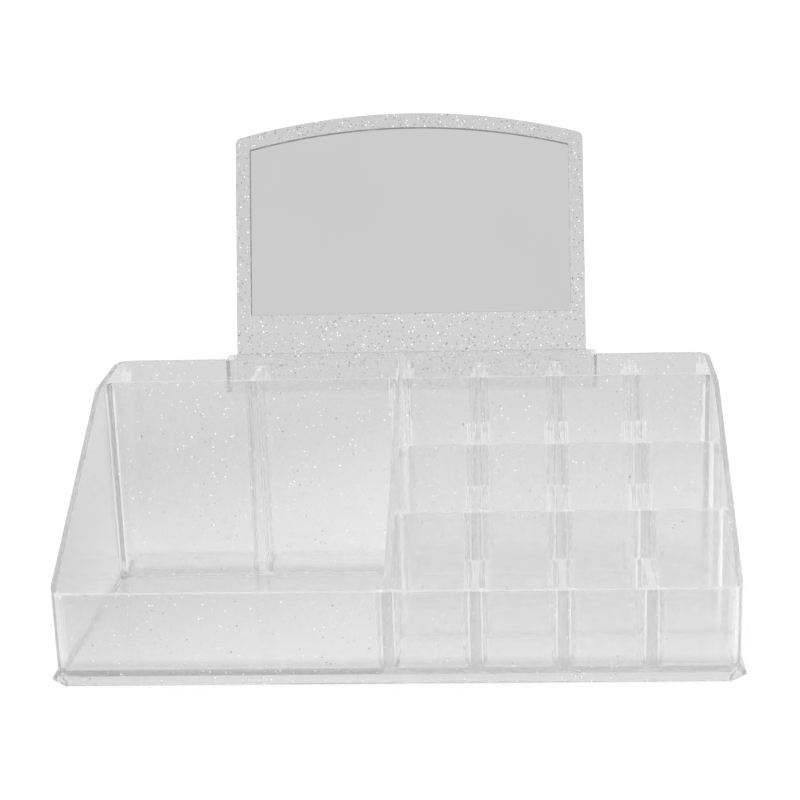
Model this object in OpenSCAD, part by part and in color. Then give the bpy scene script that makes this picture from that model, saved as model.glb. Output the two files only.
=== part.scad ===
// Clear vanity organizer: a one-piece moulded tray with lipstick cells that step up to
// the rear, two tall compartments, a low front tray, and a mirror panel that stands
// leaning back in a pocket behind the rear wall. The front is at -Y and up is +Z.

/* [Tray] */
// Width over the flared foot
tray_width = 240; // [215:1:300]
// Thickness of the outer walls
wall = 2; // [1.6:0.1:2.6]
// Thickness of the inner walls where they meet the floor
web = 3.2; // [2.8:0.1:4]
// Draft of every wall face, in degrees
draft_angle = 0.6; // [0.3:0.1:0.8]
// Radius of the upright corners outside
outer_corner = 5; // [4:0.5:8]
// Radius of the upright corners inside the compartments
inner_corner = 3; // [2:0.25:4]
// Radius where a wall meets the floor inside a compartment
floor_fillet = 1.4; // [0.8:0.1:1.8]

/* [Heights] */
// Height of the front wall
front_height = 32.5; // [26:0.5:36]
// Height of the second cross wall, behind the first row of cells
second_height = 50; // [44:0.5:55]
// Height of the third cross wall
third_height = 65.5; // [60:0.5:70]
// Height of the fourth cross wall, which runs across the whole tray
fourth_height = 83.5; // [76:0.5:84]
// Height of the rear wall
rear_height = 86; // [86:0.5:100]
// Distance from the knee in the side walls back to the fourth cross wall
knee_lead = 9.4; // [4:0.2:16]

/* [Lipstick cells] */
// Number of cells across
cell_columns = 4; // [3:1:4]
// Width of a cell at the floor
cell_width = 26.8; // [22:0.1:27.2]
// Depth of a cell at the floor, in the three front rows
cell_depth = 29; // [26:0.5:32]
// Depth of a cell at the floor, in the rear row
rear_cell_depth = 22.4; // [18:0.2:32]

/* [Foot] */
// Height of the foot, up to the top of the floor
foot_height = 4; // [3.5:0.1:6]
// Thickness of the floor
floor_thickness = 1.8; // [1.4:0.1:2.4]
// How far the foot flares out past the walls
foot_flare = 2; // [1:0.1:3]
// Height of the upright lip along the foot's edge
foot_lip = 0.8; // [0.5:0.1:1.2]
// Width of the rim that the tray stands on
foot_rim = 1.8; // [1.2:0.1:2.4]
// Length cut off each side of the foot at its corners
foot_cut = 6; // [4.5:0.1:6.5]

/* [Mirror panel] */
// Width of the panel
panel_width = 141; // [120:1:150]
// Height of the panel's straight sides, from its foot to its top corners
panel_side = 100; // [90:1:115]
// Rise of the arched top edge above the corners
arch_rise = 9.3; // [5:0.1:15]
// Thickness of the panel
panel_thickness = 3; // [2.6:0.1:3.6]
// Radius of the panel's top corners
panel_corner = 2.6; // [1.5:0.1:5]
// Radius of the panel's bottom corners
foot_corner = 1.5; // [1:0.1:3]
// Angle at which the panel leans back, in degrees
lean = 15.5; // [10:0.5:20]

/* [Mirror] */
// Width of the clear border round the mirror
border = 5.4; // [4:0.1:9]
// Height of the mirror's bottom edge above the panel's foot
mirror_bottom = 27.7; // [24:0.1:40]
// Thickness of the mirror sheet
mirror_thickness = 1.2; // [0.8:0.1:1.3]
// Thickness of the adhesive tape behind the mirror
tape_thickness = 0.4; // [0.2:0.1:0.5]
// Width of a strip of tape
tape_width = 14; // [8:1:20]
// Number of strips of tape
tape_strips = 3; // [2:1:4]

/* [Pocket] */
// Depth of the pocket that holds the panel's foot
pocket_depth = 12; // [9:0.5:16]
// Play between the panel's edge and the pocket's end wall
side_play = 2.2; // [1:0.1:4]
// Thickness of the pocket's walls and floor
pocket_wall = 1.8; // [1.4:0.1:2.4]
// Outer radius of the pocket's corners
pocket_corner = 2.2; // [2:0.1:3]

/* [Hidden] */
$fn = 64;

// Running clearance between loose pieces, play of the mirror in its recess, and how far
// the mirror lies below the panel's face
clearance = 0.3;
mirror_play = 0.25;
mirror_sink = 0.2;
mirror_corner = 0.8;
tape_margin = 9;
// Overrun of a cut past the face it opens
over = 1;
// How far the open space above the walls steps into the faces of the compartments below
core_step = 0.04;

// Rate at which a drafted face moves outwards with height
draft = tan(draft_angle);

// Places of the tray's faces. X is measured from the tray's middle and Y from the front
// edge of the foot, both at the level of the floor.
outer_x = tray_width / 2 - foot_flare;
inner_x = outer_x - wall;
outer_front = foot_flare;
inner_front = outer_front + wall;

// Rows of cells, each with the cross wall behind it. The rear row is the shallow one.
row_pitch = cell_depth + web;
cross_heights = [front_height, second_height, third_height, fourth_height];
row_fronts = [for (row = [0:3]) inner_front + row * row_pitch];
rear_row = row_fronts[3];
inner_rear = rear_row + rear_cell_depth;
row_rears = [for (front = row_fronts) front < rear_row ? front + cell_depth : inner_rear];
fourth_front = rear_row - web;
outer_rear = inner_rear + wall;
tray_depth = outer_rear + foot_flare;

// The columns of cells end at the right wall, and the main partition stands beside them.
column_pitch = cell_width + web;
cells_left = inner_x - cell_columns * column_pitch + web;
partition_left = cells_left - web;
tall_width = (partition_left + inner_x - web) / 2;

// Place and height of the bend in the side walls, ahead of the fourth cross wall
knee_y = fourth_front - knee_lead;
knee_height = fourth_height;

// Pocket and panel. The panel's lower rear edge stands on the pocket's floor, its lower
// front edge touches the rear wall, and its back leans on the pocket's top edge.
rear_face_top = outer_rear + draft * (rear_height - foot_height);
panel_y_thick = panel_thickness * cos(lean);
panel_z_thick = panel_thickness * sin(lean);
pocket_gap = panel_y_thick + pocket_depth * tan(lean) + 2 * clearance;
pocket_floor = rear_height - pocket_depth;
pocket_half = panel_width / 2 + side_play;
panel_foot_y = rear_face_top + clearance;
panel_foot_z = pocket_floor + panel_z_thick + clearance;
panel_top = panel_side + arch_rise;
overall_depth = panel_foot_y + panel_top * sin(lean) + panel_y_thick;

// Radius of the arched top, from its rise and the panel's width
arch_radius = (pow(panel_width / 2, 2) + pow(arch_rise, 2)) / (2 * arch_rise);
arch_centre = panel_top - arch_radius;

tray_colour = [0.84, 0.86, 0.87, 0.55];
panel_colour = [0.80, 0.82, 0.83, 0.6];
mirror_colour = [0.78, 0.79, 0.80];
tape_colour = [0.93, 0.93, 0.90];

// Half section of a compartment, out from its corner centre: a rounded foot, then a
// drafted face up to the given height
module compartment_section(radius, fillet, height) {
    intersection() {
        union() {
            square([radius - fillet, height]);
            translate([radius - fillet, fillet]) circle(fillet);
            polygon([[0, fillet], [radius, fillet],
                     [radius + draft * (height - fillet), height], [0, height]]);
        }
        square([radius + height, height]);
    }
}

// Half section with one straight face that changes its radius with height
module plain_section(low_radius, high_radius, height) {
    polygon([[0, 0], [low_radius, 0], [high_radius, height], [0, height]]);
}

// A block with rounded upright corners, made by carrying a half section round the four
// corner centres at (+-centre_x, +-centre_y)
module rounded_block(centre_x, centre_y, height) {
    for (x = [-centre_x, centre_x], y = [-centre_y, centre_y])
        translate([x, y, 0]) rotate_extrude() children();
    rotate([90, 0, 90]) linear_extrude(2 * centre_x, center = true)
        both_sides(centre_y, height) children();
    rotate([90, 0, 0]) linear_extrude(2 * centre_y, center = true)
        both_sides(centre_x, height) children();
}

module both_sides(half, height) {
    translate([-half, 0]) square([2 * half, height]);
    for (side = [0, 1])
        mirror([side, 0]) translate([half, 0]) children();
}

// A drafted compartment with its floor at the tray's floor level. The edges are given
// at that level.
module compartment(left, right, front, rear) {
    depth = rear_height + over - foot_height;
    translate([(left + right) / 2, (front + rear) / 2, foot_height])
        rounded_block((right - left) / 2 - inner_corner,
                      (rear - front) / 2 - inner_corner, depth)
            compartment_section(inner_corner, floor_fillet, depth);
}

// Side view of the open space above walls that step up to the rear. Each step holds the
// place of its upright face at the floor and the height where the space begins. The
// faces lean back at the given rate.
module stair_outline(steps, rate) {
    top = rear_height + over;
    lows = [for (step = steps) step.y];
    front = -outer_corner;
    polygon([
        [front, top], [front, min(lows)],
        for (step = steps, z = [step.y, min([for (low = lows) if (low > step.y) low, top])])
            [step.x + rate * (z - foot_height - floor_fillet), z]
    ]);
}

// The open space above the walls between two upright walls. The rounded corners of the
// compartments below it carry on up the walls behind.
module open_above(left, right, steps) {
    top = rear_height + over;
    low = min([for (step = steps) step.y]);
    half = (right - left) / 2 + core_step;
    low_half = half + draft * (low - foot_height - floor_fillet);
    top_half = half + draft * (top - foot_height - floor_fillet);
    translate([(left + right) / 2, 0, 0]) {
        rotate([90, 0, 90])
            linear_extrude(right - left - 2 * inner_corner, center = true)
                stair_outline([for (step = steps) step + [core_step, 0]], draft);
        intersection() {
            rotate([90, 0, 90]) linear_extrude(tray_width, center = true)
                stair_outline([for (step = steps) step - [inner_corner, 0]], 0);
            translate([0, tray_depth, 0]) rotate([90, 0, 0])
                linear_extrude(2 * tray_depth)
                    polygon([[-low_half, low], [low_half, low],
                             [top_half, top], [-top_half, top]]);
        }
    }
}

// Outline of the tray seen from the side, which cuts the tops of the outer walls and the
// main partition
module side_outline() {
    polygon([
        [-over, -over], [-over, front_height], [inner_front, front_height],
        [knee_y, knee_height], [rear_face_top, rear_height],
        [tray_depth + over, rear_height], [tray_depth + over, -over]
    ]);
}

module tray_walls() {
    height = rear_height - foot_height;
    translate([0, tray_depth / 2, foot_height])
        rounded_block(outer_x - outer_corner,
                      tray_depth / 2 - foot_flare - outer_corner, height)
            plain_section(outer_corner, outer_corner + draft * height, height);
}

// Upright block over the foot's rectangle, inset by the given amount on all sides, with
// straight cuts across its corners
module cut_corner_block(inset, height) {
    half_x = tray_width / 2 - inset;
    half_y = tray_depth / 2 - inset;
    cut = foot_cut - inset * (2 - sqrt(2));
    translate([0, 0, -over]) linear_extrude(height + 2 * over) polygon([
        for (corner = [[1, 1], [-1, 1], [-1, -1], [1, -1]])
            for (step = corner.x * corner.y > 0 ? [[0, cut], [cut, 0]] : [[cut, 0], [0, cut]])
                [corner.x * (half_x - step.x), corner.y * (half_y - step.y)]
    ]);
}

module foot() {
    slope = foot_height - foot_lip;
    edge_radius = outer_corner + foot_flare;
    centre_x = outer_x - outer_corner;
    centre_y = tray_depth / 2 - foot_flare - outer_corner;
    hollow = foot_height - floor_thickness;
    translate([0, tray_depth / 2, 0]) difference() {
        intersection() {
            union() {
                rounded_block(centre_x, centre_y, foot_lip)
                    plain_section(edge_radius, edge_radius, foot_lip);
                translate([0, 0, foot_lip]) rounded_block(centre_x, centre_y, slope)
                    plain_section(edge_radius, outer_corner, slope);
            }
            cut_corner_block(0, foot_height);
        }
        intersection() {
            translate([0, 0, -over]) rounded_block(centre_x, centre_y, over + hollow)
                plain_section(edge_radius - foot_rim,
                              edge_radius - foot_rim - hollow / 2, over + hollow);
            cut_corner_block(foot_rim, foot_height);
        }
    }
}

// Channel behind the rear wall, open at the top, with rounded outer corners and edge
module pocket() {
    outer_half = pocket_half + pocket_wall;
    outer_gap = pocket_gap + pocket_wall;
    height = pocket_depth + pocket_wall;
    difference() {
        translate([0, rear_face_top - wall / 2, rear_height - height])
            linear_extrude(height) union() {
                translate([-outer_half, 0])
                    square([2 * outer_half, outer_gap + wall / 2 - pocket_corner]);
                translate([pocket_corner - outer_half, 0])
                    square([2 * (outer_half - pocket_corner), outer_gap + wall / 2]);
                for (x = [pocket_corner - outer_half, outer_half - pocket_corner])
                    translate([x, outer_gap + wall / 2 - pocket_corner])
                        circle(pocket_corner);
            }
        translate([-pocket_half, rear_face_top, pocket_floor])
            cube([2 * pocket_half, pocket_gap, pocket_depth + over]);
    }
}

module lipstick_cells() {
    for (row = [0:3], column = [0:cell_columns - 1]) {
        left = cells_left + column * column_pitch;
        compartment(left, left + cell_width, row_fronts[row], row_rears[row]);
    }
    open_above(cells_left, inner_x,
               [for (row = [0:3]) [row_rears[row], cross_heights[row]]]);
}

module left_compartments() {
    compartment(-inner_x, partition_left, inner_front, fourth_front);
    for (left = [-inner_x, -inner_x + tall_width + web])
        compartment(left, left + tall_width, fourth_front + web, inner_rear);
    open_above(-inner_x, partition_left,
               [[fourth_front, front_height], [inner_rear, fourth_height]]);
}

module tray() {
    color(tray_colour) translate([0, -overall_depth / 2, 0]) {
        difference() {
            intersection() {
                tray_walls();
                rotate([90, 0, 90])
                    linear_extrude(tray_width, center = true) side_outline();
            }
            lipstick_cells();
            left_compartments();
        }
        foot();
        pocket();
    }
}

// Outline with an arched top and rounded top corners. The arch is struck from the
// panel's own centre, so inset outlines run parallel to the panel's edge.
module arched_outline(inset, low, corner, low_corner) {
    half = panel_width / 2 - inset;
    radius = arch_radius - inset;
    corner_x = half - corner;
    corner_z = arch_centre + sqrt(pow(radius - corner, 2) - pow(corner_x, 2));
    touch_x = corner_x * radius / (radius - corner);
    intersection() {
        translate([0, arch_centre]) circle(radius, $fn = 360);
        translate([-touch_x, low + low_corner])
            square([2 * touch_x, panel_top - low]);
    }
    translate([-half, low + low_corner])
        square([2 * half, corner_z - low - low_corner]);
    for (x = [-corner_x, corner_x])
        translate([x, corner_z]) circle(corner);
    translate([low_corner - half, low])
        square([2 * (half - low_corner), 2 * low_corner]);
    for (x = [low_corner - half, half - low_corner])
        translate([x, low + low_corner]) circle(low_corner);
}

// Puts a flat piece, drawn with X across, Y up and Z towards its front, in the pocket.
// The piece's back lies at the given distance from the panel's front face.
module stand_in_pocket(back) {
    translate([0, panel_foot_y - overall_depth / 2, panel_foot_z])
        rotate([90 - lean, 0, 0]) translate([0, 0, -back]) children();
}

recess = mirror_sink + mirror_thickness + tape_thickness;

module mirror_panel() {
    color(panel_colour) stand_in_pocket(panel_thickness) difference() {
        linear_extrude(panel_thickness)
            arched_outline(0, 0, panel_corner, foot_corner);
        translate([0, 0, panel_thickness - recess]) linear_extrude(recess + over)
            arched_outline(border, mirror_bottom, mirror_corner, mirror_corner);
    }
}

module mirror_sheet() {
    color(mirror_colour) stand_in_pocket(mirror_sink + mirror_thickness)
        linear_extrude(mirror_thickness)
            arched_outline(border + mirror_play, mirror_bottom + mirror_play,
                           mirror_corner, mirror_corner);
}

// Upright strips of tape, spread evenly behind the mirror
module mounting_tape() {
    span = panel_width - 2 * (border + mirror_play + tape_margin) - tape_width;
    low = mirror_bottom + tape_margin;
    height = panel_side - border - tape_margin - low;
    color(tape_colour) stand_in_pocket(recess)
        for (strip = [0:tape_strips - 1])
            translate([(strip / (tape_strips - 1) - 1 / 2) * span - tape_width / 2, low, 0])
                cube([tape_width, height, tape_thickness]);
}

tray();
mirror_panel();
mirror_sheet();
mounting_tape();
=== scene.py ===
"""Looks of the clear vanity organizer: clear styrene with silver glitter moulded in, a
mirror in a recess of the panel, and the foam tape that holds it."""

import math

import bmesh
import bpy
import numpy as np
from mathutils import Matrix, Vector


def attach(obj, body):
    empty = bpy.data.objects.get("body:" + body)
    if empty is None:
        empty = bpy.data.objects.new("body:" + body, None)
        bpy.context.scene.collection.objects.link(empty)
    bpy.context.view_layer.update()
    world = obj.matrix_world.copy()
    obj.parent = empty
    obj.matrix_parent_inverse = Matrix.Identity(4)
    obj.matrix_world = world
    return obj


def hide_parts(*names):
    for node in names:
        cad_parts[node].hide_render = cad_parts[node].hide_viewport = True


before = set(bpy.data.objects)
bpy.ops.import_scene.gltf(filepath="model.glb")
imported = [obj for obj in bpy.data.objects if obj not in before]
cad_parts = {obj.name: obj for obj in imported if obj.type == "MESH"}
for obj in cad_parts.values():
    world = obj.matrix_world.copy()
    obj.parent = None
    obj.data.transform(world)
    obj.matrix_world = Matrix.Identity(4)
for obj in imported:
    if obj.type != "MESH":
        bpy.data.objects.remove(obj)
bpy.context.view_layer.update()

MM = 0.001
WHITE = (1, 1, 1, 1)

# Camera, found from the photograph's corners: place in metres, angles in radians, focal
# length and optical centre in pixels of the 800 pixel picture
PICTURE = 800
FOCAL = 1719.1
CENTRE_PX = (451.29, 363.14)
CAMERA_PLACE = (0.045394, -0.625149, 0.23947)
CAMERA_PITCH = 0.22877
CAMERA_YAW = -0.043248
CAMERA_ROLL = 0.025243
SENSOR = 36
CLIP_END = 100

# Studio: 1 is white. The dark flags at both sides give the edges of the clear plastic
# their lines, and the strip lights give its rounded corners their bright ones.
SKY_LEVEL = 1.0
FLAG_LEVEL = 0.85
FLAG_START = 0.55
FLAG_END = 0.92
FLOOR_COLOUR = (0.3, 0.3, 0.3, 1)
FLOOR_ROUGHNESS = 0.9
FLOOR_REACH = 30.0
FLOOR_DROP = 0.05
FLOOR_LIFT = 0.75
# Lights: place, width, height, level, and whether they show through the plastic. Two
# stand at the sides and two in front, and all are turned to one point.
LIGHTS = (((-1.5, -0.55, 0.5), 0.35, 1.2, 7.0, False),
          ((1.5, -0.45, 0.5), 0.35, 1.2, 7.0, False),
          ((-1.2, -1.3, 1.1), 0.6, 0.6, 4.0, True),
          ((1.35, -1.1, 1.1), 0.6, 0.6, 4.0, True))
LIGHT_AIM = (0, 0, 0.06)
# Light goes through up to twelve walls and runs along inside them
LIGHT_BOUNCES = 64

# Colour of the plastic as a whole, near its foot and near its top, and of the walls
# behind the first one. It turns from where to where in mm, and sooner to the left: the
# slope says by how much, up to the limit in mm.
TURN_SLOPE = -0.25
TURN_LIMIT = 20
TRAY_LOW = (0.8, 0.8, 0.8, 1)
TRAY_HIGH = (0.4, 0.4, 0.4, 1)
TRAY_TURN = (5, 82)
PANEL_LOW = (0.36, 0.36, 0.36, 1)
PANEL_HIGH = (0.31, 0.31, 0.31, 1)
PANEL_TURN = (80, 170)
# Painted shade: the foot and the floor keep this share of the colour, up to where it
# fades out in mm. It stands for the shadowed floor under the tray, seen through them.
FOOT_PAINTED_SHADE = 0.76
FOOT_TURN = (6.5, 9)
DEEP_COLOUR = (0.99, 0.99, 0.99, 1)
PLASTIC_IOR = 1.5
PLASTIC_DENSITY = 1.8
FIRST_ROUGHNESS = 0.2
DEEP_ROUGHNESS = 0.09

# Waviness of moulded faces: how it is drawn out upwards, the scales of its broad and its
# fine noise per metre, the share of the fine one, and its height in mm
FLOW_DRAWN = (1, 1, 0.35)
FLOW_SCALES = (110.0, 900.0)
FLOW_FINE = 0.06
WAVE_HEIGHT = 0.004

# Specks painted in the plastic: their spacing and radius in mm, the share of them that
# is bright or dark, and their fading. The bright ones are painted glints of the glitter
# and the dark ones painted dark reflections. With 0 all are at full strength, and a
# higher value leaves more of them faint.
TRAY_SPECKS = (1.15, 0.22, 0.36, 0.1, 1.2)
PANEL_SPECKS = (1.05, 0.23, 0.28, 0.28, 0)
# The smallest speck's share of the radius, the largest is a whole radius more
SPECK_SMALLEST = 0.4
# The glow of the bright specks, a painted glint, and the colour of the dark ones, painted
# dark reflections, on the first face and on the faces behind it
SPECK_GLINT_GLOW = 0.17
DARK_REFLECTION_SPECK = (0.07, 0.07, 0.07, 1)
DEEP_REFLECTION_SPECK = (0.2, 0.2, 0.2, 1)

# Rims and fillets gather the light that runs along in the walls. As a painted highlight
# of it they glow a little and are painted lighter, keeping less of the plastic's colour.
# A face is one where it bends more sharply than the limit, in 1/mm, above the fillets of
# the floor. The shares are for level rims, slanted rims and fillets, and the heights in
# mm say where these faces start and end. A rim's normal points up by more than its limit.
EDGE_BEND = 0.45
EDGE_SHARES = (1, 0.75, 0.5)
EDGE_BOTTOM = 10
LEVEL_TOP = 85
FILLET_TOP = 74
LEVEL_NORMAL = 0.97
SLANTED_NORMAL = 0.6
EDGE_GLOW = 0.05
EDGE_HIGHLIGHT = 0.85

# Silvered glass: scale of its haze per metre and range of its roughness
MIRROR_COLOUR = (0.62, 0.62, 0.62, 1)
MIRROR_HAZE = (0.585, 0.585, 0.585, 1)
HAZE_SCALE = 14.0
MIRROR_ROUGHNESS = (0.06, 0.12)
# Its rim: width, and how far its inner edge lies to the right, up and in, in mm
RIM_WIDTH = 0.38
RIM_SHIFT = (0.12, -0.26, 0.15)
# Painted shade of the recess's edge: the colour of the rim
RIM_SHADE_COLOUR = (0.27, 0.27, 0.27, 1)
RIM_METAL = 0.6
RIM_ROUGHNESS = 0.45
# Chips in the rim: scale per metre, where they start and end in the noise, and strength
CHIP_SCALE = 420.0
CHIP_RANGE = (0.5, 0.68)
CHIP_SHARE = 0.3

# Foam tape: its colours, the scale of its pores per metre and their depth in mm. The
# lift stands for the light that reaches the tape through the plastic round it.
TAPE_COLOUR = (0.82, 0.82, 0.79, 1)
TAPE_PORE = (0.62, 0.62, 0.58, 1)
PORE_SCALE = 1600.0
PORE_DEPTH = 0.1
TAPE_ROUGHNESS = 0.8
TAPE_LIFT = 0.3

# Glitter flakes that lie in the surface: number per square metre, share of dark ones,
# which are painted dark reflections, range of their half size and of their depth in mm,
# half thickness as a share of the half size, and how far they tilt
GLITTER_SEED = 7
TRAY_FLAKES = 14000
PANEL_FLAKES = 45000
TRAY_DARK_FLAKES = 0.15
PANEL_DARK_FLAKES = 0.45
FLAKE_SIZE = (0.12, 0.26)
FLAKE_DEPTH = (-0.03, 0.06)
FLAKE_THICKNESS = 0.08
FLAKE_TILT = 0.35
# Their finish: the cells per metre that say which are painted dark, a painted dark
# reflection, and a narrow step between. The bright ones glow a little, a painted glint.
FLAKE_CELLS = 500.0
DARK_FLAKE_STEP = 0.01
BRIGHT_FLAKE = (0.97, 0.97, 0.97, 1)
PAINTED_DARK_FLAKE = (0.2, 0.2, 0.2, 1)
FLAKE_GLINT_GLOW = 0.15
FLAKE_ROUGHNESS = 0.35

# Meshes taken from the CAD: corners closer than the reach are one, in mm, edges shorter
# than the least length in metres go, and angles are in degrees
MERGE_REACH = 0.06
MIRROR_REACH = 0.001
LEAST_LENGTH = 1e-7
FLAT_ANGLE = 0.4
SHARP_ANGLE = 28
FLAT_WEIGHT = 100


def make_camera():
    """A camera at the photograph's place. Its X axis is the picture's right, its Y axis
    the picture's up, and it looks along -Z."""
    cos_p, sin_p = math.cos(CAMERA_PITCH), math.sin(CAMERA_PITCH)
    cos_y, sin_y = math.cos(CAMERA_YAW), math.sin(CAMERA_YAW)
    ahead = Vector((sin_y * cos_p, cos_y * cos_p, -sin_p))
    level = Vector((cos_y, -sin_y, 0))
    down = ahead.cross(level)
    right = math.cos(CAMERA_ROLL) * level + math.sin(CAMERA_ROLL) * down
    below = -math.sin(CAMERA_ROLL) * level + math.cos(CAMERA_ROLL) * down
    data = bpy.data.cameras.new("camera")
    data.sensor_width = SENSOR
    data.lens = FOCAL / PICTURE * SENSOR
    data.shift_x = (PICTURE / 2 - CENTRE_PX[0]) / PICTURE
    data.shift_y = (CENTRE_PX[1] - PICTURE / 2) / PICTURE
    data.clip_end = CLIP_END
    camera = bpy.data.objects.new("camera", data)
    turn = Matrix((right, -below, -ahead)).transposed().to_4x4()
    camera.matrix_world = Matrix.Translation(CAMERA_PLACE) @ turn
    bpy.context.collection.objects.link(camera)
    bpy.context.scene.camera = camera


def add_node(tree, kind, sockets=(), **settings):
    """A new node with its settings, and with each socket in the list linked or set."""
    node = tree.nodes.new(kind)
    for name, value in settings.items():
        setattr(node, name, value)
    for socket, value in sockets:
        if isinstance(value, bpy.types.NodeSocket):
            tree.links.new(value, node.inputs[socket])
        else:
            node.inputs[socket].default_value = value
    return node


def calculate(tree, operation, a, b=0.0):
    node = add_node(tree, "ShaderNodeMath", [(0, a), (1, b)], operation=operation)
    return node.outputs[0]


def blend_colours(tree, share, a, b):
    return add_node(tree, "ShaderNodeMix", [("Factor", share), ("A", a), ("B", b)],
                    data_type="RGBA").outputs["Result"]


def map_range(tree, value, source=(0.0, 1.0), target=(0.0, 1.0), kind="LINEAR"):
    """The value, moved from the source range to the target range and held within it."""
    return add_node(tree, "ShaderNodeMapRange",
                    [("Value", value), ("From Min", source[0]), ("From Max", source[1]),
                     ("To Min", target[0]), ("To Max", target[1])],
                    interpolation_type=kind).outputs["Result"]


def new_group(name, inputs, outputs):
    """An empty shader node group with its named sockets, its input and its output."""
    group = bpy.data.node_groups.new(name, "ShaderNodeTree")
    for side, sockets in (("INPUT", inputs), ("OUTPUT", outputs)):
        for socket, kind in sockets:
            group.interface.new_socket(name=socket, in_out=side, socket_type=kind)
    return group, group.nodes.new("NodeGroupInput"), group.nodes.new("NodeGroupOutput")


def place_group(tree, group, place, values):
    """A group put in a material, with its vector linked and its other inputs set."""
    node = add_node(tree, "ShaderNodeGroup", [("Vector", place)], node_tree=group)
    for socket, value in zip(list(node.inputs)[1:], values):
        socket.default_value = value
    return node


def speck_group():
    """Glitter seen as small dots. Round each random point of space, one per spacing, lies
    a ball of its own radius, and a surface shows where it cuts one. Random numbers
    of the point say whether the ball is bright, a painted glint, or dark, a painted
    dark reflection, or missing, and how faint it is."""
    group, given, result = new_group(
        "glitter_glint_specks",
        [("Vector", "NodeSocketVector"), ("Spacing", "NodeSocketFloat"),
         ("Radius", "NodeSocketFloat"), ("Bright share", "NodeSocketFloat"),
         ("Dark share", "NodeSocketFloat"), ("Fading", "NodeSocketFloat")],
        [("Bright", "NodeSocketFloat"), ("Dark", "NodeSocketFloat")])
    scale = calculate(group, "DIVIDE", 1 / MM, given.outputs["Spacing"])
    cells = add_node(group, "ShaderNodeTexVoronoi",
                     [("Vector", given.outputs["Vector"]), ("Scale", scale)])
    throw = add_node(group, "ShaderNodeTexWhiteNoise",
                     [("Vector", cells.outputs["Color"])])
    chance = add_node(group, "ShaderNodeSeparateColor", [(0, throw.outputs["Color"])])
    reach = calculate(group, "DIVIDE", given.outputs["Radius"], given.outputs["Spacing"])
    spread = calculate(group, "ADD", chance.outputs["Green"], SPECK_SMALLEST)
    inside = calculate(group, "LESS_THAN", cells.outputs["Distance"],
                       calculate(group, "MULTIPLY", reach, spread))
    bright = calculate(group, "LESS_THAN", chance.outputs["Red"],
                       given.outputs["Bright share"])
    top = calculate(group, "SUBTRACT", 1.0, given.outputs["Dark share"])
    dark = calculate(group, "GREATER_THAN", chance.outputs["Red"], top)
    strength = calculate(group, "POWER", chance.outputs["Blue"], given.outputs["Fading"])
    shown = calculate(group, "MULTIPLY", inside, strength)
    group.links.new(calculate(group, "MULTIPLY", shown, bright), result.inputs["Bright"])
    group.links.new(calculate(group, "MULTIPLY", shown, dark), result.inputs["Dark"])
    return group


def flow_group():
    """The slight waviness that the flow of the plastic leaves in moulded faces: broad
    noise, drawn out upwards, with a little fine noise on it."""
    group, given, result = new_group(
        "moulding_flow", [("Vector", "NodeSocketVector"), ("Fine", "NodeSocketFloat")],
        [("Height", "NodeSocketFloat")])
    drawn = add_node(group, "ShaderNodeMapping",
                     [("Vector", given.outputs["Vector"]), ("Scale", FLOW_DRAWN)])
    broad = add_node(group, "ShaderNodeTexNoise",
                     [("Vector", drawn.outputs[0]), ("Scale", FLOW_SCALES[0]),
                      ("Detail", 1.0)])
    fine = add_node(group, "ShaderNodeTexNoise",
                    [("Vector", given.outputs["Vector"]), ("Scale", FLOW_SCALES[1]),
                     ("Detail", 2.0)])
    ripple = calculate(group, "MULTIPLY", fine.outputs["Fac"], given.outputs["Fine"])
    group.links.new(calculate(group, "ADD", broad.outputs["Fac"], ripple),
                    result.inputs["Height"])
    return group


def new_material(name):
    """An empty node material: its tree, its Principled shader and Object coordinates."""
    material = bpy.data.materials.new(name)
    material.use_nodes = True
    tree = material.node_tree
    tree.nodes.clear()
    output = tree.nodes.new("ShaderNodeOutputMaterial")
    shader = tree.nodes.new("ShaderNodeBsdfPrincipled")
    tree.links.new(shader.outputs["BSDF"], output.inputs["Surface"])
    place = tree.nodes.new("ShaderNodeTexCoord").outputs["Object"]
    return material, tree, shader, place


def link_sockets(tree, shader, values):
    """Links or sets the shader's sockets by their names."""
    for name, value in values.items():
        if isinstance(value, bpy.types.NodeSocket):
            tree.links.new(value, shader.inputs[name])
        else:
            shader.inputs[name].default_value = value


def bump_normal(tree, height, depth):
    """The normal of a surface with this height, whose full depth is in mm."""
    return add_node(tree, "ShaderNodeBump", [("Height", height), ("Distance", depth * MM)]
                    ).outputs["Normal"]


def body_colour(tree, place, low, high, turn):
    """Colour of the plastic as a whole. It turns from low to high between the two
    heights, and sooner to the left, and the foot keeps a share of it as painted shade."""
    axes = add_node(tree, "ShaderNodeSeparateXYZ", [(0, place)]).outputs
    slant = calculate(tree, "MULTIPLY", TURN_SLOPE,
                      calculate(tree, "MINIMUM", axes["X"], TURN_LIMIT * MM))
    along = calculate(tree, "ADD", axes["Z"], slant)
    rise = map_range(tree, along, [height * MM for height in turn], kind="SMOOTHSTEP")
    colour = blend_colours(tree, rise, low, high)
    # Painted shade: darker near the foot
    foot = map_range(tree, axes["Z"], [height * MM for height in FOOT_TURN],
                     (FOOT_PAINTED_SHADE, 1.0))
    return add_node(tree, "ShaderNodeVectorMath", [(0, colour), ("Scale", foot)],
                    operation="SCALE").outputs[0]


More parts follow.
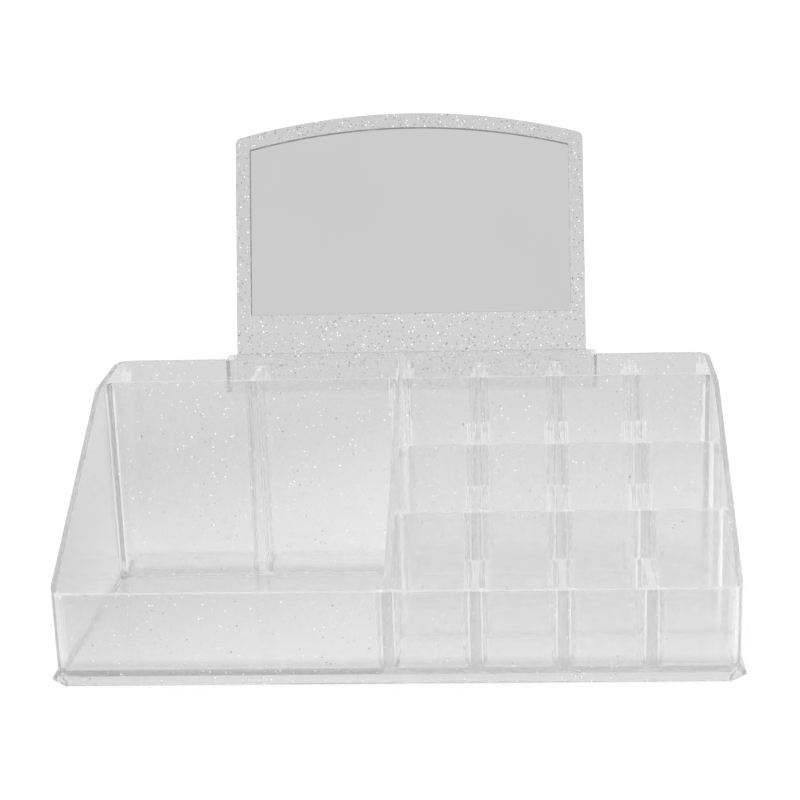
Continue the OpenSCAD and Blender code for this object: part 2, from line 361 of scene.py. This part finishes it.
def plastic_material(name, low, high, turn, specks):
    """Clear styrene with specks of glitter. The first face that is looked through gives
    the colour and the haze of the plastic as a whole, from low to high up, and the faces
    behind it add only a trace. The turn says from where to where the colour changes, in
    mm. Its bright and dark specks are painted glints and painted dark reflections.
    Rims and fillets are painted lighter and glow a little, a painted highlight, and the
    inside takes up a little light."""
    material, tree, shader, place = new_material(name)
    glitter = place_group(tree, SPECKS, place, specks).outputs
    flow = place_group(tree, FLOW, place, (FLOW_FINE,)).outputs
    edge = add_node(tree, "ShaderNodeAttribute", attribute_name="edge").outputs["Fac"]
    camera = tree.nodes.new("ShaderNodeLightPath").outputs["Is Camera Ray"]
    # Painted highlight: rims and fillets are painted towards white
    clear = calculate(tree, "MULTIPLY", calculate(tree, "POWER", edge, 2.0), EDGE_HIGHLIGHT)
    first = blend_colours(tree, clear, body_colour(tree, place, low, high, turn), WHITE)
    # Painted glints and painted dark reflections of the glitter
    first = blend_colours(tree, glitter["Bright"], first, WHITE)
    first = blend_colours(tree, glitter["Dark"], first, DARK_REFLECTION_SPECK)
    deep = blend_colours(tree, glitter["Dark"], DEEP_COLOUR, DEEP_REFLECTION_SPECK)
    # Painted glow: a glint on the bright specks and a highlight on rims and fillets
    glow = calculate(tree, "MAXIMUM",
                     calculate(tree, "MULTIPLY", glitter["Bright"], SPECK_GLINT_GLOW),
                     calculate(tree, "MULTIPLY", edge, EDGE_GLOW))
    haze = map_range(tree, camera, target=(DEEP_ROUGHNESS, FIRST_ROUGHNESS))
    link_sockets(tree, shader, {
        "Base Color": blend_colours(tree, camera, deep, first),
        "Roughness": haze,
        "Normal": bump_normal(tree, flow["Height"], WAVE_HEIGHT),
        "Emission Color": glow,
        "Emission Strength": 1,
        "Transmission Weight": 1,
        "IOR": PLASTIC_IOR})
    inside = add_node(tree, "ShaderNodeVolumeAbsorption",
                      [("Color", (0, 0, 0, 1)), ("Density", PLASTIC_DENSITY)])
    tree.links.new(inside.outputs[0], tree.nodes["Material Output"].inputs["Volume"])
    material.cycles.emission_sampling = "NONE"
    return material


def mirror_material():
    """Silvered glass with a faint haze in soft patches."""
    material, tree, shader, place = new_material("silvered_glass")
    patches = add_node(tree, "ShaderNodeTexNoise",
                       [("Vector", place), ("Scale", HAZE_SCALE), ("Detail", 2.0)]
                       ).outputs["Fac"]
    link_sockets(tree, shader, {
        "Base Color": blend_colours(tree, patches, MIRROR_COLOUR, MIRROR_HAZE),
        "Roughness": map_range(tree, patches, target=MIRROR_ROUGHNESS),
        "Metallic": 1})
    return material


def rim_shade_material():
    """The rim of the mirror: painted dark, as painted shade from the edge of its recess,
    with small lighter chips.
    """
    material, tree, shader, place = new_material("mirror_rim_shade")
    chips = add_node(tree, "ShaderNodeTexNoise",
                     [("Vector", place), ("Scale", CHIP_SCALE), ("Detail", 2.0)])
    share = map_range(tree, chips.outputs["Fac"], CHIP_RANGE, (0.0, CHIP_SHARE))
    link_sockets(tree, shader, {
        "Base Color": blend_colours(tree, share, RIM_SHADE_COLOUR, MIRROR_COLOUR),
        "Metallic": RIM_METAL,
        "Roughness": RIM_ROUGHNESS})
    return material


def tape_material():
    """White foam with closed pores."""
    material, tree, shader, place = new_material("foam_tape")
    pores = add_node(tree, "ShaderNodeTexVoronoi",
                     [("Vector", place), ("Scale", PORE_SCALE)]).outputs["Distance"]
    foam = blend_colours(tree, pores, TAPE_PORE, TAPE_COLOUR)
    link_sockets(tree, shader, {
        "Base Color": foam,
        "Roughness": TAPE_ROUGHNESS,
        "Normal": bump_normal(tree, pores, PORE_DEPTH),
        "Emission Color": foam,
        "Emission Strength": TAPE_LIFT})
    return material


def flake_material(name, dark_flake_share):
    """Silver glitter: by where it lies, a flake is bright with a faint glow, a painted
    glint, or painted dark, a painted dark reflection.
    """
    material, tree, shader, place = new_material(name)
    cells = add_node(tree, "ShaderNodeTexVoronoi",
                     [("Vector", place), ("Scale", FLAKE_CELLS)])
    chance = add_node(tree, "ShaderNodeSeparateColor", [(0, cells.outputs["Color"])])
    # Painted dark reflection on some flakes; the rest glow a little, a painted glint
    dark_flake = map_range(tree, chance.outputs["Red"], (dark_flake_share, dark_flake_share + DARK_FLAKE_STEP),
                     (1.0, 0.0))
    link_sockets(tree, shader, {
        "Base Color": blend_colours(tree, dark_flake, BRIGHT_FLAKE, PAINTED_DARK_FLAKE),
        "Metallic": 1,
        "Roughness": FLAKE_ROUGHNESS,
        "Emission Color": map_range(tree, dark_flake, target=(1.0, 0.0)),
        "Emission Strength": FLAKE_GLINT_GLOW})
    material.cycles.emission_sampling = "NONE"
    return material


def link_piece(name, mesh, materials):
    for material in materials:
        mesh.materials.append(material)
    piece = bpy.data.objects.new(name, mesh)
    bpy.context.collection.objects.link(piece)
    return piece


def merged_mesh(node, reach):
    """A copy of a CAD node's mesh with its loose triangles joined, corners closer than
    the reach made one, flat areas made whole and its stored normals left out."""
    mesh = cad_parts[node].data.copy()
    mesh.materials.clear()
    if "custom_normal" in mesh.attributes:
        mesh.attributes.remove(mesh.attributes["custom_normal"])
    work = bmesh.new()
    work.from_mesh(mesh)
    bmesh.ops.remove_doubles(work, verts=work.verts, dist=reach)
    bmesh.ops.dissolve_degenerate(work, edges=work.edges, dist=LEAST_LENGTH)
    bmesh.ops.dissolve_limit(work, angle_limit=math.radians(FLAT_ANGLE),
                             verts=work.verts, edges=work.edges,
                             use_dissolve_boundaries=False)
    return mesh, work


def edge_share(face):
    """How much of an edge's light a face shows. Its bend is the sum of the angles at its
    sides, each times the side's length, over the face's area."""
    level_rim, slanted_rim, fillet = EDGE_SHARES
    bend = sum(edge.calc_face_angle(0) * edge.calc_length() for edge in face.edges)
    height = face.calc_center_median().z / MM
    if bend < EDGE_BEND / MM * face.calc_area() or height < EDGE_BOTTOM:
        return 0
    if face.normal.z > SLANTED_NORMAL:
        level = face.normal.z > LEVEL_NORMAL and height < LEVEL_TOP
        return level_rim if level else slanted_rim
    return fillet if height < FILLET_TOP else 0


def moulded_piece(node, name, material):
    """A CAD node with curved faces made smooth and its corners kept sharp. Normals are
    weighted by area, so a flat face stays flat up to the fillet beside it."""
    mesh, work = merged_mesh(node, MERGE_REACH * MM)
    work.normal_update()
    layer = work.faces.layers.float.new("edge")
    for face in work.faces:
        face.smooth = True
        face[layer] = edge_share(face)
    work.to_mesh(mesh)
    work.free()
    mesh.name = name
    mesh.set_sharp_from_angle(angle=math.radians(SHARP_ANGLE))
    piece = link_piece(name, mesh, [material])
    even = piece.modifiers.new("flat_faces", "WEIGHTED_NORMAL")
    even.mode = "FACE_AREA"
    even.weight = FLAT_WEIGHT
    even.keep_sharp = True
    return piece


def mirror_piece(name, materials):
    """The mirror sheet with a narrow rim of the second material, which slopes down to a
    slightly sunk face. The rim carries painted shade, and it is widest at the top,
    because the sheet has slid down in its recess."""
    mesh, work = merged_mesh("mirror_sheet", MIRROR_REACH * MM)
    work.normal_update()
    front = max(work.faces, key=lambda face: -face.normal.y * face.calc_area())
    out = front.normal.copy()
    up = Vector((1, 0, 0)).cross(out) * -1
    ring = bmesh.ops.inset_region(work, faces=[front], thickness=RIM_WIDTH * MM)["faces"]
    along, rise, depth = RIM_SHIFT
    for corner in front.verts:
        corner.co += MM * (Vector((along, 0, 0)) + rise * up - depth * out)
    for face in work.faces:
        face.smooth = False
    for face in ring:
        face.material_index = 1
    work.to_mesh(mesh)
    work.free()
    mesh.name = name
    return link_piece(name, mesh, materials)


def random_places(node, per_area, draw):
    """Random points of a CAD node's surface, spread evenly over its triangles, with the
    surface's normal at each."""
    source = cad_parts[node].data
    corners = np.empty(len(source.vertices) * 3)
    source.vertices.foreach_get("co", corners)
    source.calc_loop_triangles()
    picks = np.empty(len(source.loop_triangles) * 3, dtype=np.int64)
    source.loop_triangles.foreach_get("vertices", picks)
    a, b, c = np.moveaxis(corners.reshape(-1, 3)[picks.reshape(-1, 3)], 1, 0)
    cross = np.cross(b - a, c - a)
    area = np.linalg.norm(cross, axis=1) / 2
    normal = cross / np.maximum(2 * area, 1e-12)[:, None]
    count = int(per_area * area.sum())
    chosen = draw.choice(len(area), size=count, p=area / area.sum())
    u, v = draw.random((2, count))
    fold = u + v > 1
    u[fold], v[fold] = 1 - u[fold], 1 - v[fold]
    place = a[chosen] + u[:, None] * (b - a)[chosen] + v[:, None] * (c - a)[chosen]
    return place, normal[chosen]


def flakes_on(node, name, per_area, seed, material):
    """Glitter flakes in the surface of a CAD node. Each is a flat closed octahedron: a
    square of four corners with a low point on both sides, turned at random and a little
    tilted, at a random point of the surface."""
    draw = np.random.default_rng(seed)
    place, normal = random_places(node, per_area, draw)
    count = len(place)
    place = place - draw.uniform(*FLAKE_DEPTH, (count, 1)) * MM * normal
    size = draw.uniform(*FLAKE_SIZE, count) * MM
    axis = normal + draw.normal(0, FLAKE_TILT, (count, 3))
    axis /= np.linalg.norm(axis, axis=1)[:, None]
    side = np.cross(axis, draw.normal(0, 1, (count, 3)))
    side /= np.linalg.norm(side, axis=1)[:, None]
    axes = np.stack((side, np.cross(axis, side), axis), axis=1)
    form = np.array([[1, 0, 0], [0, 1, 0], [-1, 0, 0], [0, -1, 0],
                     [0, 0, FLAKE_THICKNESS], [0, 0, -FLAKE_THICKNESS]])
    points = place[:, None, :] + size[:, None, None] * (form @ axes)
    faces = np.array([[0, 1, 4], [1, 2, 4], [2, 3, 4], [3, 0, 4],
                      [1, 0, 5], [2, 1, 5], [3, 2, 5], [0, 3, 5]])
    index = faces[None, :, :] + len(form) * np.arange(count)[:, None, None]
    mesh = bpy.data.meshes.new(name)
    mesh.from_pydata(points.reshape(-1, 3).tolist(), [], index.reshape(-1, 3).tolist())
    print(name, count, "flakes")
    return link_piece(name, mesh, [material])


def make_floor():
    """A plain pale floor, white where the camera or a clear or shiny piece sees it."""
    mesh = bpy.data.meshes.new("floor")
    r, z = FLOOR_REACH, -FLOOR_DROP * MM
    mesh.from_pydata([(-r, -r, z), (r, -r, z), (r, r, z), (-r, r, z)], [], [(0, 1, 2, 3)])
    material, tree, shader, _ = new_material("floor")
    path = tree.nodes.new("ShaderNodeLightPath").outputs
    seen = calculate(tree, "MAXIMUM", path["Is Camera Ray"],
                     calculate(tree, "MAXIMUM", path["Is Glossy Ray"],
                               path["Is Transmission Ray"]))
    link_sockets(tree, shader, {
        "Base Color": FLOOR_COLOUR,
        "Roughness": FLOOR_ROUGHNESS,
        "Emission Color": WHITE,
        "Emission Strength": calculate(tree, "MULTIPLY", seen, FLOOR_LIFT)})
    link_piece("floor", mesh, [material])


def make_world():
    """White surroundings with a soft dark flag at both sides. The flags show through the
    plastic, in reflections and in the light, and the camera itself sees white."""
    world = bpy.data.worlds.new("studio")
    bpy.context.scene.world = world
    world.use_nodes = True
    tree = world.node_tree
    tree.nodes.clear()
    ahead = tree.nodes.new("ShaderNodeTexCoord").outputs["Generated"]
    across = add_node(tree, "ShaderNodeSeparateXYZ", [(0, ahead)]).outputs["X"]
    level = map_range(tree, calculate(tree, "ABSOLUTE", across), (FLAG_START, FLAG_END),
                      (SKY_LEVEL, FLAG_LEVEL), kind="SMOOTHSTEP")
    camera = tree.nodes.new("ShaderNodeLightPath").outputs["Is Camera Ray"]
    background = add_node(tree, "ShaderNodeBackground",
                          [("Color", WHITE),
                           ("Strength", calculate(tree, "MAXIMUM", level, camera))])
    output = tree.nodes.new("ShaderNodeOutputWorld")
    tree.links.new(background.outputs[0], output.inputs["Surface"])


def make_lights():
    """Soft lights turned to the object. The camera and diffuse rays don't see them."""
    for number, (place, width, height, level, through) in enumerate(LIGHTS):
        data = bpy.data.lights.new(f"soft_light_{number}", "AREA")
        data.shape = "RECTANGLE"
        data.size, data.size_y = width, height
        data.energy = level * math.pi * width * height
        light = bpy.data.objects.new(f"soft_light_{number}", data)
        light.location = place
        aim = Vector(LIGHT_AIM) - Vector(place)
        light.rotation_euler = aim.to_track_quat("-Z", "Y").to_euler()
        light.visible_camera = False
        light.visible_transmission = through
        light.visible_diffuse = False
        bpy.context.collection.objects.link(light)


make_camera()
make_world()
make_floor()
make_lights()

SPECKS = speck_group()
FLOW = flow_group()
tray_plastic = plastic_material("glitter_plastic", TRAY_LOW, TRAY_HIGH, TRAY_TURN,
                                TRAY_SPECKS)
panel_plastic = plastic_material("panel_plastic", PANEL_LOW, PANEL_HIGH, PANEL_TURN,
                                 PANEL_SPECKS)

tray = moulded_piece("tray", "organizer_tray", tray_plastic)
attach(tray, "tray")
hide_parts("tray")
panel = moulded_piece("mirror_panel", "clear_panel", panel_plastic)
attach(panel, "mirror")
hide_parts("mirror_panel")
mirror = mirror_piece("mirror_glass", [mirror_material(), rim_shade_material()])
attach(mirror, "mirror")
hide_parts("mirror_sheet")
tape_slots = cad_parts["mounting_tape"].data.materials
tape_slots.clear()
tape_slots.append(tape_material())

tray_glitter = flakes_on("tray", "tray_glitter", TRAY_FLAKES, GLITTER_SEED,
                         flake_material("tray_flakes", TRAY_DARK_FLAKES))
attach(tray_glitter, "tray")
panel_glitter = flakes_on("mirror_panel", "panel_glitter", PANEL_FLAKES,
                          GLITTER_SEED + 1, flake_material("panel_flakes", PANEL_DARK_FLAKES))
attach(panel_glitter, "mirror")

scene = bpy.context.scene
scene.view_settings.view_transform = "Standard"
scene.cycles.max_bounces = LIGHT_BOUNCES
scene.cycles.glossy_bounces = LIGHT_BOUNCES
scene.cycles.transmission_bounces = LIGHT_BOUNCES
